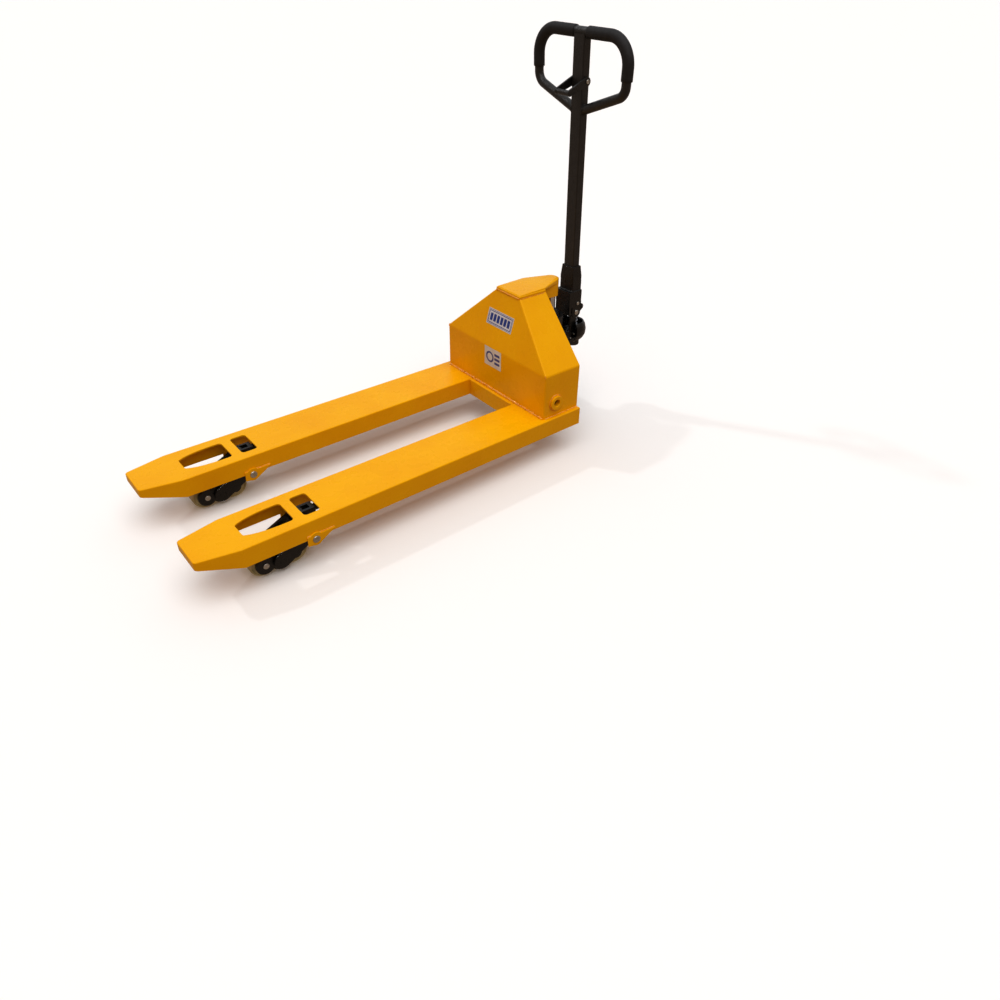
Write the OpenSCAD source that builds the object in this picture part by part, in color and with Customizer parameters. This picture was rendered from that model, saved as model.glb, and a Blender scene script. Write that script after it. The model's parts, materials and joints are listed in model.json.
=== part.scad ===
// Hand pallet jack: a fork frame that rides on four load rollers and a steered hydraulic pump unit.
// +X is across the forks, the forks point to -Y, +Z is up and the floor is Z = 0.

/* [Forks] */
// Width across both forks
overall_w = 550; // [540:5:600]
// Width of one fork
fork_w = 160; // [155:5:165]
// Length of a fork in front of the front plate
fork_l = 1150; // [1100:10:1220]
// Height of a fork's side walls
fork_h = 60; // [58:1:62]
// Height of the fork tops above the floor, part raised
fork_top = 150; // [148:1:152]
// Thickness of the fork sheet
sheet_t = 5; // [4:0.5:6]
// Width of a fork at its tip
tip_w = 114; // [100:2:130]
// Height of a fork at its tip
tip_h = 25; // [20:1:35]
// Length of the tapered tip
taper_l = 115; // [90:5:120]

/* [Housing] */
// Width across the housing's side walls
housing_w = 520; // [510:5:530]
// Depth of the housing behind the front plate's face
housing_d = 150; // [145:1:155]
// Height of the shoulders above the fork tops
shoulder_h = 155; // [145:5:165]
// Height of the housing's top above the fork tops
housing_h = 338; // [334:1:340]
// Width of the housing's top
housing_top_w = 120; // [110:5:130]
// Thickness of the front plate
front_t = 6; // [5:0.5:7]

/* [Wheels] */
// Radius of a load roller
roller_r = 40; // [38:1:40]
// Width of a load roller
roller_w = 70; // [64:2:72]
// Distance between the two roller axles of a bogie
roller_pitch = 87; // [84:1:90]
// Radius of a steering wheel
wheel_r = 90; // [85:1:90]
// Width of a steering wheel
wheel_w = 50; // [46:1:50]

/* [Handle] */
// Length from the handle's pivot to the middle of the grip bar
handle_l = 870; // [850:5:900]
// Forward lean of the resting handle, degrees
lean = 1.5; // [0:0.05:3]
// Radius of the loop's tube
loop_r = 14; // [12:0.5:15]
// Half the width of the loop at its top corners, to the tube's middle
loop_half_w = 195; // [180:5:200]
// Width of the handle's square tube
tube_w = 46; // [44:1:48]
// Depth of the handle's square tube
tube_d = 30; // [28:1:32]

/* [Hidden] */

clear = 0.05;              // radial clearance of every running fit
rear_reach = 414;          // from the front plate's face to the rearmost point
plate_y = (fork_l - rear_reach) / 2;
tip_y = plate_y - fork_l;
fork_x = (overall_w - fork_w) / 2;
fork_rear = plate_y + 152;
fork_low = fork_top - fork_h;
seat_z = fork_top - 1;     // the housing stands in a shallow seat, so the fork's load face ends at it
taper_y = tip_y + taper_l;

// Housing outline: shoulders, then a narrow top; above the shoulders the faces lean back.
shoulder_z = fork_top + shoulder_h;
top_z = fork_top + housing_h;
front_top_y = plate_y + 0.3 * (housing_h - shoulder_h);
rear_y = plate_y + housing_d;
rear_top_y = rear_y + 0.1 * (housing_h - shoulder_h);
cheek_t = 5;

// Load-wheel linkage, side view places [Y, Z].
arm_pivot = [plate_y - 838, fork_top - 62];
bogie_pivot = [plate_y - 929.5, roller_r];
yoke_l = 40;
yoke_pivot = [arm_pivot[0], arm_pivot[1] + yoke_l];
yoke_pin_r = 7;
arm_shaft_r = 10;
bogie_pin_r = 8;
axle_r = 8;
front_axle_y = bogie_pivot[0] - roller_pitch / 2;
rear_axle_y = bogie_pivot[0] + roller_pitch / 2;
bogie_in = roller_w / 2 + 3;
bogie_out = bogie_in + 10;
arm_in = bogie_out + 2;
arm_out = arm_in + 8;

// Rocker: turns on a shaft through the housing and joins the pump carriage to the push rods.
rocker_pivot = [plate_y + 49, fork_top + 50];
rocker_shaft_r = 12;
rod_lever = 72;
rod_pin = [rocker_pivot[0], rocker_pivot[1] - rod_lever];
link_pivot = [plate_y + 205, rocker_pivot[1]];
link_pin_r = 8;
link_x = 62;

// Pump unit: everything that turns with the handle about the steering axis.
steer_y = plate_y + 245;
neck_r = 30;
ram_r = 19;
ram_low = 246;
valve_at = [steer_y + 20, 262];
valve_pin_r = 4;
nose_r = 27;
nose_low = fork_top + 292;
cylinder_top = 385;
handle_pivot = [plate_y + 344, 364];
handle_pin_r = 8;
plunger_y = handle_pivot[0] + 24;
plunger_r = 11;
chamber_top = 292;
plunger_cap_low = 355;
plunger_cap_top = 368;
steer_axle_r = 12.5;
wheel_x = 47;

// Cylinder along X from x0 to x1 at a side view place.
module rod_x(r, x0, x1, at, fn = 48) {
    translate([x0, at[0], at[1]]) rotate([0, 90, 0]) cylinder(r = r, h = x1 - x0, $fn = fn);
}

// Outline in [Y, Z] drawn through from x0 to x1.
module through_x(x0, x1) {
    translate([x0, 0, 0]) rotate([90, 0, 90]) linear_extrude(x1 - x0) children();
}

// Outline in [X, Z] drawn through from y0 to y1.
module through_y(y0, y1) {
    translate([0, y1, 0]) rotate([90, 0, 0]) linear_extrude(y1 - y0) children();
}

// The same piece at each side, mirrored.
module both_sides() {
    children();
    mirror([1, 0, 0]) children();
}

// Rounded link between two places of an outline.
module link(a, b, ra, rb) {
    hull() {
        translate(a) circle(ra, $fn = 32);
        translate(b) circle(rb, $fn = 32);
    }
}

// ---- Frame ----

module fork_plan(inset) {
    side = fork_w / 2 - inset;
    tip = tip_w / 2 - inset;
    front = tip_y + inset;
    corner = 5;
    rear = fork_rear + (inset > 0 ? 1 : 0);
    polygon([
        [-side, rear], [-side, taper_y], [-tip, front + corner], [-tip + corner, front],
        [tip - corner, front], [tip, front + corner], [side, taper_y], [side, rear]
    ]);
}

module fork_profile() {
    polygon([
        [tip_y - 1, fork_top], [fork_rear + 1, fork_top], [fork_rear + 1, fork_low],
        [taper_y, fork_low], [tip_y, fork_top - tip_h], [tip_y - 1, fork_top - tip_h]
    ]);
}

// Long opening over the load rollers, narrow at its front.
module roller_opening() {
    hull() {
        translate([-25, plate_y - 1001]) circle(6, $fn = 24);
        translate([25, plate_y - 1001]) circle(6, $fn = 24);
        translate([-39, plate_y - 955]) circle(8, $fn = 24);
        translate([39, plate_y - 955]) circle(8, $fn = 24);
        translate([-39, plate_y - 883]) circle(8, $fn = 24);
        translate([39, plate_y - 883]) circle(8, $fn = 24);
    }
}

// Window over the arm's pivot.
module pivot_window() {
    hull() {
        for (x = [-38, 38], y = [-836, -808]) {
            translate([x, plate_y + y]) circle(10, $fn = 24);
        }
    }
}

module fork() {
    difference() {
        intersection() {
            translate([0, 0, fork_low]) linear_extrude(fork_h) fork_plan(0);
            through_x(-fork_w, fork_w) fork_profile();
        }
        linear_extrude(fork_top - sheet_t) fork_plan(sheet_t);
        translate([0, 0, fork_low]) linear_extrude(fork_h + 1) roller_opening();
        translate([0, 0, fork_low]) linear_extrude(fork_h + 1) pivot_window();
        translate([-22, plate_y + 12, fork_low + 20]) cube([44, 128, fork_h]);
        rod_x(arm_shaft_r + 0.5, -fork_w, fork_w, arm_pivot);
        translate([-fork_w, plate_y, seat_z]) cube([2 * fork_w, 400, 2]);
    }
}

module left_fork() {
    color("gold") translate([-fork_x, 0, 0]) fork();
}

module right_fork() {
    color("gold") translate([fork_x, 0, 0]) fork();
}

// Folded channel that joins the forks under the front plate.
module cross_member() {
    half = fork_x - fork_w / 2;
    color("gold") difference() {
        translate([-half, plate_y - 18, fork_low]) cube([2 * half, 40, seat_z - fork_low]);
        translate([-half - 1, plate_y - 18 + sheet_t, fork_low - 1]) {
            cube([2 * half + 2, 40, fork_h + 1 - sheet_t]);
        }
    }
}

module housing_outline(inset) {
    w = housing_w / 2 - inset;
    t = housing_top_w / 2 - inset;
    polygon([
        [-w, seat_z], [w, seat_z], [w, shoulder_z], [t, top_z], [-t, top_z], [-w, shoulder_z]
    ]);
}

// Bent plate: upright to the shoulders, leaning back above them.
module front_plate() {
    color("gold") intersection() {
        through_y(plate_y - 1, front_top_y + 20) housing_outline(0);
        through_x(-housing_w, housing_w) polygon([
            [plate_y, seat_z], [plate_y, shoulder_z], [front_top_y, top_z],
            [front_top_y + front_t, top_z], [plate_y + front_t, shoulder_z],
            [plate_y + front_t, seat_z]
        ]);
    }
}

// Side wall and sloping shoulder, folded from one sheet.
module cheek() {
    w = housing_w / 2;
    t = housing_top_w / 2;
    difference() {
        intersection() {
            through_y(plate_y, rear_top_y + 10) polygon([
                [w, seat_z], [w, shoulder_z], [t, top_z], [t - cheek_t * 1.4, top_z],
                [w - cheek_t, shoulder_z - cheek_t * 0.42], [w - cheek_t, seat_z]
            ]);
            through_x(0, housing_w) polygon([
                [plate_y + front_t, seat_z], [plate_y + front_t, shoulder_z],
                [front_top_y + front_t, top_z], [rear_top_y, top_z], [rear_y, shoulder_z],
                [rear_y, seat_z]
            ]);
        }
        rod_x(18, 0, housing_w, rocker_pivot);
    }
}

module left_cheek() {
    color("gold") mirror([1, 0, 0]) cheek();
}

module right_cheek() {
    color("gold") cheek();
}

// Cast head with a nose that takes the top of the ram.
module head_cap() {
    t = housing_top_w / 2;
    flange_h = 7;
    color("gold") difference() {
        union() {
            translate([-t, front_top_y, top_z]) {
                cube([2 * t, rear_top_y - front_top_y, flange_h]);
            }
            hull() {
                translate([-t + 3, front_top_y + 3, top_z + flange_h - 1]) cube([2 * t - 6, 1, 4]);
                translate([-t + 3, rear_top_y - 3, top_z + flange_h - 1]) cube([2 * t - 6, 1, 7]);
                translate([0, steer_y, top_z]) cylinder(r = nose_r, h = 14, $fn = 32);
                translate([0, steer_y, top_z]) cylinder(r = nose_r - 10, h = 18, $fn = 32);
            }
            hull() {
                translate([-34, rear_top_y + 1, nose_low + 8]) cube([68, 10, top_z - nose_low]);
                translate([0, steer_y, nose_low]) {
                    cylinder(r = nose_r, h = top_z + flange_h - nose_low, $fn = 32);
                }
            }
        }
        translate([0, steer_y, nose_low - 1]) cylinder(r = ram_r, h = 31, $fn = 48);
    }
}

// Plates welded on both faces of each fork, where the wheel arm's shaft goes through.
module pivot_brackets() {
    plate_t = 4;
    color("gold") for (side = [-1, 1], face = [-1, 1]) {
        x0 = side * fork_x + face * fork_w / 2 - (face < 0 ? plate_t : 0);
        difference() {
            through_x(x0, x0 + plate_t) union() {
                polygon([
                    [arm_pivot[0] - 25, arm_pivot[1] + 14], [arm_pivot[0] + 58, arm_pivot[1] + 14],
                    [arm_pivot[0] + 52, arm_pivot[1] + 8], [arm_pivot[0] + 14, arm_pivot[1] - 15],
                    [arm_pivot[0] - 10, arm_pivot[1] - 18], [arm_pivot[0] - 25, arm_pivot[1] - 16]
                ]);
                translate(arm_pivot) circle(21, $fn = 48);
            }
            rod_x(arm_shaft_r, x0 - 1, x0 + plate_t + 1, arm_pivot);
        }
    }
}

// Headed shafts of the wheel arms, one in each fork.
module arm_shafts() {
    reach = fork_w / 2 + 4;
    head_r = 10.8;
    color("silver") for (side = [-1, 1]) translate([side * fork_x, 0, 0]) {
        rod_x(arm_shaft_r, -reach, reach, arm_pivot);
        both_sides() rod_x(head_r, reach, reach + 3, arm_pivot);
    }
}

module rocker_shaft() {
    reach = housing_w / 2 - 6;
    color("silver") rod_x(rocker_shaft_r, -reach, reach, rocker_pivot);
}

module shaft_bushes() {
    w = housing_w / 2;
    color("gold") both_sides() difference() {
        union() {
            rod_x(18, w - 18, w + 1, rocker_pivot);
            rod_x(25, w, w + 10, rocker_pivot);
        }
        rod_x(rocker_shaft_r, w - 19, w + 11, rocker_pivot);
    }
}

// Chrome ram of the pump: its top is held in the nose.
module ram() {
    color("gainsboro") translate([0, steer_y, ram_low]) {
        cylinder(r = ram_r, h = nose_low + 28 - ram_low, $fn = 48);
    }
}

// Two blank labels on the front plate.
module labels() {
    slope = atan(0.3);
    color("white") {
        translate([0, plate_y + 0.3 * 95, shoulder_z + 95]) rotate([-slope, 0, 0]) {
            translate([-71, -0.4, -27]) cube([129, 0.4, 54]);
        }
        translate([-52, plate_y - 0.4, fork_top + 85]) cube([88, 0.4, 69]);
    }
}

// ---- Lift linkage ----

module rocker_arm() {
    tube_half = housing_w / 2 - 20;
    lever_t = 16;
    color("dimgray") difference() {
        union() {
            rod_x(20, -tube_half, tube_half, rocker_pivot);
            for (side = [-1, 1]) {
                through_x(side * fork_x - lever_t / 2, side * fork_x + lever_t / 2) {
                    link(rocker_pivot, rod_pin, 20, 14);
                }
                through_x(side * link_x - 7, side * link_x + 7) {
                    link(rocker_pivot, [link_pivot[0] + 9, link_pivot[1]], 20, 16);
                }
            }
        }
        rod_x(rocker_shaft_r + clear, -tube_half - 1, tube_half + 1, rocker_pivot);
        for (side = [-1, 1]) {
            rod_x(yoke_pin_r, side * fork_x - lever_t, side * fork_x + lever_t, rod_pin);
            through_x(side * link_x - 8, side * link_x + 8) {
                link(link_pivot, [link_pivot[0] + 11, link_pivot[1]], 9.6, 9.6);
            }
        }
    }
}

// Pins that join the rocker's levers to the push rods.
module rod_pins() {
    color("silver") for (side = [-1, 1]) {
        rod_x(yoke_pin_r, side * fork_x - 19, side * fork_x + 19, rod_pin);
    }
}

// Push rod with a forked end at each pivot. The front ears have upright slots.
module push_rod() {
    ear_in = 9;
    ear_out = 17;
    front = yoke_pivot[0] + 36;
    back = rod_pin[0] - 34;
    drop = 12;
    color("dimgray") difference() {
        union() {
            translate([0, back + 1, rod_pin[1]]) rotate([90, 0, 0]) {
                cylinder(r = 10, h = back - front + 2, $fn = 32);
            }
            translate([-ear_out, front - 10, rod_pin[1] - 19]) cube([2 * ear_out, 12, 31]);
            translate([-ear_out, back - 2, rod_pin[1] - 12]) cube([2 * ear_out, 12, 24]);
            both_sides() {
                through_x(ear_in, ear_out) {
                    translate([yoke_pivot[0] - 14, rod_pin[1] - 23]) square([51, 35]);
                }
                through_x(ear_in, ear_out) {
                    link([back, rod_pin[1]], rod_pin, 12, 12);
                }
            }
        }
        rod_x(yoke_pin_r + clear, -20, 20, rod_pin);
        through_x(-20, 20) {
            link([yoke_pivot[0], yoke_pivot[1] + 0.4], [yoke_pivot[0], yoke_pivot[1] - drop], 8.4, 8.4);
        }
    }
}

module left_push_rod() {
    translate([-fork_x, 0, 0]) push_rod();
}

module right_push_rod() {
    translate([fork_x, 0, 0]) push_rod();
}

// Bell crank between the shaft in the fork, the push rod above it and the bogie in front.
module wheel_arm() {
    color("black") difference() {
        union() {
            rod_x(15, -arm_out, arm_out, arm_pivot);
            through_x(-8, 8) link(arm_pivot, yoke_pivot, 16, 12);
            both_sides() through_x(arm_in, arm_out) link(arm_pivot, bogie_pivot, 19, 24);
        }
        rod_x(arm_shaft_r + clear, -arm_out - 1, arm_out + 1, arm_pivot);
        rod_x(yoke_pin_r, -9, 9, yoke_pivot);
        both_sides() rod_x(bogie_pin_r, arm_in - 1, arm_out + 1, bogie_pivot);
    }
}

module left_wheel_arm() {
    translate([-fork_x, 0, 0]) wheel_arm();
}

module right_wheel_arm() {
    translate([fork_x, 0, 0]) wheel_arm();
}

// The yoke pin and the two stub pins that carry the bogie.
module arm_pins() {
    color("silver") {
        rod_x(yoke_pin_r, -19, 19, yoke_pivot);
        both_sides() rod_x(bogie_pin_r, bogie_in, arm_out, bogie_pivot);
    }
}

module left_arm_pins() {
    translate([-fork_x, 0, 0]) arm_pins();
}

module right_arm_pins() {
    translate([fork_x, 0, 0]) arm_pins();
}

// Two side plates that hold the roller axles and swing about the arm's end.
module bogie() {
    color("black") both_sides() difference() {
        through_x(bogie_in, bogie_out) union() {
            translate([front_axle_y, roller_r]) circle(27, $fn = 48);
            translate(bogie_pivot) circle(31, $fn = 48);
            translate([rear_axle_y, roller_r]) circle(17, $fn = 48);
            translate([front_axle_y, roller_r - 16]) square([roller_pitch, 36]);
        }
        rod_x(axle_r, bogie_in - 1, bogie_out + 1, [front_axle_y, roller_r]);
        rod_x(axle_r, bogie_in - 1, bogie_out + 1, [rear_axle_y, roller_r]);
        rod_x(bogie_pin_r + clear, bogie_in - 1, bogie_out + 1, bogie_pivot);
    }
}

module left_bogie() {
    translate([-fork_x, 0, 0]) bogie();
}

module right_bogie() {
    translate([fork_x, 0, 0]) bogie();
}

module roller_axles() {
    color("silver") {
        rod_x(axle_r, -bogie_out, bogie_out, [front_axle_y, roller_r]);
        both_sides() rod_x(8.9, bogie_out, bogie_out + 3, [front_axle_y, roller_r]);
        rod_x(axle_r, -bogie_out - 1, bogie_out + 1, [rear_axle_y, roller_r]);
    }
}

module left_roller_axles() {
    translate([-fork_x, 0, 0]) roller_axles();
}

module right_roller_axles() {
    translate([fork_x, 0, 0]) roller_axles();
}

// Nylon roller with a bearing seat at each end.
module load_roller(side, axle_y) {
    at = [axle_y, roller_r];
    half = roller_w / 2;
    color("beige") translate([side * fork_x, 0, 0]) difference() {
        union() {
            rod_x(roller_r, -half + 3, half - 3, at, 64);
            rod_x(roller_r - 3, -half, half, at, 64);
        }
        rod_x(axle_r + 3, -half - 1, half + 1, at);
        both_sides() rod_x(20, half - 13, half + 1, at);
    }
}

module roller_bearings(side, axle_y) {
    at = [axle_y, roller_r];
    half = roller_w / 2;
    color("lightgray") translate([side * fork_x, 0, 0]) both_sides() difference() {
        rod_x(20, half - 13, half - 1, at);
        rod_x(axle_r + clear, half - 14, half, at);
    }
}

module left_front_roller() {
    load_roller(-1, front_axle_y);
}

module left_rear_roller() {
    load_roller(-1, rear_axle_y);
}

module right_front_roller() {
    load_roller(1, front_axle_y);
}

module right_rear_roller() {
    load_roller(1, rear_axle_y);
}

module left_front_bearings() {
    roller_bearings(-1, front_axle_y);
}

module left_rear_bearings() {
    roller_bearings(-1, rear_axle_y);
}

module right_front_bearings() {
    roller_bearings(1, front_axle_y);
}

module right_rear_bearings() {
    roller_bearings(1, rear_axle_y);
}

// ---- Pump carriage and steering ----

// Ring that the rocker's arms hold and that the pump unit turns in.
module thrust_plate() {
    low = 2 * wheel_r + 4;
    color("dimgray") difference() {
        union() {
            translate([0, steer_y, low]) cylinder(r = 54, h = 12, $fn = 64);
            both_sides() translate([44, link_pivot[0] - 16, low]) cube([9, 48, 33]);
        }
        translate([0, steer_y, low - 1]) cylinder(r = neck_r + clear, h = 14, $fn = 64);
        translate([0, steer_y, low + 12]) cylinder(r = 53, h = 30, $fn = 64);
        both_sides() rod_x(link_pin_r, 43, 54, link_pivot);
    }
}

module link_pins() {
    color("silver") both_sides() {
        rod_x(link_pin_r, 44, link_x + 9, link_pivot);
        rod_x(11, link_x + 9, link_x + 12, link_pivot);
    }
}

module thrust_bearing() {
    low = 2 * wheel_r + 16 + 2 * clear;
    color("lightgray") translate([0, steer_y, low]) difference() {
        cylinder(r = 48, h = 8, $fn = 64);
        translate([0, 0, -1]) cylinder(r = neck_r, h = 10, $fn = 64);
    }
}

// Casting that holds the cylinder, the pump chamber, the handle's lugs and the wheels' axle.
module pump_body() {
    body_low = 2 * wheel_r + 24 + 2 * clear;
    neck_low = 2 * wheel_r + 3;
    lug_in = 18.5;
    lug_t = 6.5;
    color("black") difference() {
        union() {
            translate([0, steer_y, neck_low]) cylinder(r = neck_r, h = body_low - neck_low + 1, $fn = 64);
            through_x(-18, 18) union() {
                translate([steer_y, wheel_r]) circle(26, $fn = 48);
                translate([steer_y - 22, wheel_r]) square([44, neck_low - wheel_r + 6]);
            }
            translate([0, steer_y, body_low]) cylinder(r = 50, h = cylinder_top - 12 - body_low, $fn = 64);
            translate([0, steer_y, cylinder_top - 13]) cylinder(r = 36, h = 13, $fn = 64);
            translate([-25, steer_y + 40, 232]) cube([50, plunger_y - steer_y - 40, chamber_top - 232]);
            translate([0, plunger_y, 226]) cylinder(r = 25, h = chamber_top - 226, $fn = 48);
            rod_x(valve_pin_r, 40, 60, valve_at);
            both_sides() through_x(lug_in, lug_in + lug_t) union() {
                translate(handle_pivot) circle(18, $fn = 48);
                translate([handle_pivot[0] - 18, chamber_top - 30]) {
                    square([30, handle_pivot[1] - chamber_top + 30]);
                }
            }
        }
        translate([0, steer_y, ram_low - 57]) cylinder(r = ram_r + clear, h = 220, $fn = 48);
        translate([0, plunger_y, 236]) cylinder(r = plunger_r + clear, h = 200, $fn = 48);
        rod_x(handle_pin_r, -40, 40, handle_pivot);
        rod_x(steer_axle_r, -40, 40, [steer_y, wheel_r]);
    }
}

// Curved skirt behind the pump chamber.
module spring_guard() {
    centre_y = plunger_y - 3;
    r = rear_reach + plate_y - centre_y;
    color("black") intersection() {
        difference() {
            translate([0, centre_y, 0]) rotate_extrude($fn = 72) polygon([
                [18, 250], [34, 251], [r - 8, 259], [r - 1.5, 273], [r, 290], [r - 4, 308],
                [r - 10, 318], [r - 14, 316], [r - 8.5, 306], [r - 4, 290], [r - 5.5, 275],
                [r - 11, 263], [33, 255], [18, 254]
            ]);
            translate([0, plunger_y, 200]) cylinder(r = 25, h = 140, $fn = 48);
            translate([-25, 0, 200]) cube([50, plunger_y, 140]);
        }
        translate([-100, plunger_y - 22, 200]) cube([200, 200, 200]);
    }
}

module steer_axle() {
    color("silver") rod_x(steer_axle_r, -80, 80, [steer_y, wheel_r]);
}

module axle_clips() {
    color("silver") both_sides() difference() {
        rod_x(19, 73.5, 76, [steer_y, wheel_r]);
        rod_x(steer_axle_r, 73, 77, [steer_y, wheel_r]);
    }
}

module wheel_hub(side) {
    at = [steer_y, wheel_r];
    half = wheel_w / 2;
    color("dimgray") translate([side * wheel_x, 0, 0]) difference() {
        rod_x(wheel_r - 14, -half + 1, half - 1, at, 96);
        rod_x(16, -half, half, at);
        both_sides() {
            rod_x(26, half - 15, half, at);
            difference() {
                rod_x(62, half - 9, half, at, 96);
                rod_x(33, half - 10, half + 1, at);
            }
        }
    }
}

module left_wheel_hub() {
    wheel_hub(-1);
}

module right_wheel_hub() {
    wheel_hub(1);
}

module tyre(side) {
    at = [steer_y, wheel_r];
    half = wheel_w / 2;
    color("black") translate([side * wheel_x, 0, 0]) difference() {
        union() {
            rod_x(wheel_r, -half + 4, half - 4, at, 96);
            rod_x(wheel_r - 4, -half, half, at, 96);
        }
        rod_x(wheel_r - 14, -half - 1, half + 1, at, 96);
    }
}

module left_tyre() {
    tyre(-1);
}

module right_tyre() {
    tyre(1);
}

module wheel_bearings(side) {
    at = [steer_y, wheel_r];
    half = wheel_w / 2;
    color("lightgray") translate([side * wheel_x, 0, 0]) both_sides() difference() {
        rod_x(26, half - 15, half - 2, at);
        rod_x(steer_axle_r + clear, half - 16, half, at);
    }
}

module left_wheel_bearings() {
    wheel_bearings(-1);
}

module right_wheel_bearings() {
    wheel_bearings(1);
}

module pivot_pin() {
    color("silver") {
        rod_x(handle_pin_r, -36, 36, handle_pivot);
        both_sides() rod_x(9, 36, 38, handle_pivot);
    }
}

module plunger() {
    color("gainsboro") translate([0, plunger_y, 0]) {
        translate([0, 0, 274]) cylinder(r = plunger_r, h = plunger_cap_low - 273, $fn = 48);
        translate([0, 0, plunger_cap_low]) {
            cylinder(r = 15.6, h = plunger_cap_top - plunger_cap_low, $fn = 48);
        }
    }
}

// Point of the return spring's wire path at a turn.
function coil_point(turn, turns, r, low, high) =
    [r * cos(360 * turn), plunger_y + r * sin(360 * turn), low + (high - low) * turn / turns];

// Coil of round wire, swept as one closed skin.
module pump_spring() {
    turns = 5;
    wire = 1.9;
    coil_r = 13.4;
    sides = 8;
    steps = 18 * turns;
    low = chamber_top + wire + 0.1;
    high = plunger_cap_low - wire - 0.1;
    rings = [for (i = [0:steps], j = [0:sides - 1])
        let (a = 360 * i / 18, c = coil_point(i / 18, turns, coil_r, low, high),
             out = wire * cos(360 * j / sides), up = wire * sin(360 * j / sides))
        [c[0] + out * cos(a), c[1] + out * sin(a), c[2] + up]];
    skin = [for (i = [0:steps - 1], j = [0:sides - 1])
        let (k = (j + 1) % sides)
        [i * sides + j, i * sides + k, (i + 1) * sides + k, (i + 1) * sides + j]];
    caps = [[for (j = [sides - 1:-1:0]) j], [for (j = [0:sides - 1]) steps * sides + j]];
    color("silver") polyhedron(rings, concat(skin, caps));
}

// ---- Handle ----

// Handle places: the pivot is the origin and Z runs along the resting handle.
module at_handle() {
    translate([0, handle_pivot[0], handle_pivot[1]]) rotate([lean, 0, 0]) children();
}

roller_arm = 28;
roller_at = [roller_arm * cos(35), roller_arm * sin(35)];
base_bolt_at = [4, 33];
base_bolt_r = 4;
socket_z = 28;

// Casting that takes the tube in a socket, with ears on the pivot and on the cam roller's pin.
module handle_base() {
    ear_in = 26;
    ear_out = 35;
    color("black") at_handle() difference() {
        union() {
            both_sides() through_x(ear_in, ear_out) union() {
                circle(20, $fn = 48);
                translate([-20, 0]) square([40, 30]);
                link([0, 0], roller_at, 12, 11);
            }
            translate([-ear_out, -36, 22]) cube([2 * ear_out, 58, 58]);
            translate([-ear_out, -36, -5]) cube([2 * ear_out, 12, 28]);
            hull() {
                translate([-31, -21, 79]) cube([62, 42, 50]);
                translate([-27, -18, 160]) cube([54, 36, 5]);
            }
        }
        translate([-tube_w / 2, -tube_d / 2, socket_z]) cube([tube_w, tube_d, 140]);
        translate([-8, -8, 20]) cube([16, 16, 20]);
        rod_x(13.5, -13, 13, roller_at);
        rod_x(handle_pin_r + clear, -40, 40, [0, 0]);
        rod_x(5, -40, 40, roller_at);
        rod_x(base_bolt_r, -40, 40, base_bolt_at);
    }
}

module roller_pin() {
    color("silver") at_handle() rod_x(5, -36, 36, roller_at);
}

module pump_roller() {
    color("silver") at_handle() difference() {
        rod_x(12, -11, 11, roller_at);
        rod_x(5 + clear, -12, 12, roller_at);
    }
}

// Screw that holds the tube in the base.
module base_bolt() {
    color("silver") at_handle() {
        rod_x(base_bolt_r, -35, 35, base_bolt_at);
        both_sides() rod_x(6, 35, 38.5, base_bolt_at, 24);
    }
}

module handle_tube() {
    wall = 3;
    color("black") at_handle() difference() {
        translate([-tube_w / 2, -tube_d / 2, socket_z]) cube([tube_w, tube_d, handle_l - socket_z]);
        translate([-tube_w / 2 + wall, -tube_d / 2 + wall, socket_z - 1]) {
            cube([tube_w - 2 * wall, tube_d - 2 * wall, handle_l]);
        }
        rod_x(loop_r, -40, 40, [0, handle_l]);
        rod_x(base_bolt_r, -40, 40, base_bolt_at);
        rod_x(4, -40, 40, [0, lever_z]);
    }
}

// Corners of the loop's middle line [X, Z, bend radius], from inside the tube's right wall, over
// the top and back to its left wall. The sides rise from the neck, a place inside the tube.
neck_z = handle_l - 218;
neck_rise = 69;
loop_start = [8, neck_z + 8 * neck_rise / (loop_half_w - 5), 0];
loop_corners = [
    loop_start, [loop_half_w - 5, neck_z + neck_rise, 38], [loop_half_w, handle_l, 74],
    [-loop_half_w, handle_l, 74], [5 - loop_half_w, neck_z + neck_rise, 38],
    [-loop_start[0], loop_start[1], 0]
];

function unit(v) = v / norm(v);
function flat(p) = [p[0], p[1]];

// Points of one rounded corner b between a and c.
function corner_arc(a, b, c, r, steps) =
    let (u = unit(flat(a) - flat(b)), v = unit(flat(c) - flat(b)),
         half = acos(u * v) / 2, reach = r / tan(half),
         p = flat(b) + reach * u, q = flat(b) + reach * v,
         o = flat(b) + (r / sin(half)) * unit(u + v))
    [for (i = [0:steps])
        let (m = unit((p - o) * (1 - i / steps) + (q - o) * (i / steps))) o + r * m];

loop_path = [
    flat(loop_corners[0]),
    each [for (i = [1:4])
        each corner_arc(loop_corners[i - 1], loop_corners[i], loop_corners[i + 1],
                        loop_corners[i][2], 9)],
    flat(loop_corners[5])
];

// Round bar along the loop's path.
module loop_bar(r, sides) {
    n = len(loop_path);
    way = [for (i = [0:n - 1])
        let (a = loop_path[max(i - 1, 0)], b = loop_path[min(i + 1, n - 1)]) unit(b - a)];
    rings = [for (i = [0:n - 1], j = [0:sides - 1])
        let (side = r * cos(360 * j / sides), deep = -r * sin(360 * j / sides))
        [loop_path[i][0] + side * way[i][1], deep, loop_path[i][1] - side * way[i][0]]];
    skin = [for (i = [0:n - 2], j = [0:sides - 1])
        let (k = (j + 1) % sides)
        [i * sides + j, i * sides + k, (i + 1) * sides + k, (i + 1) * sides + j]];
    caps = [[for (j = [sides - 1:-1:0]) j], [for (j = [0:sides - 1]) (n - 1) * sides + j]];
    polyhedron(rings, concat(skin, caps));
}

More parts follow.
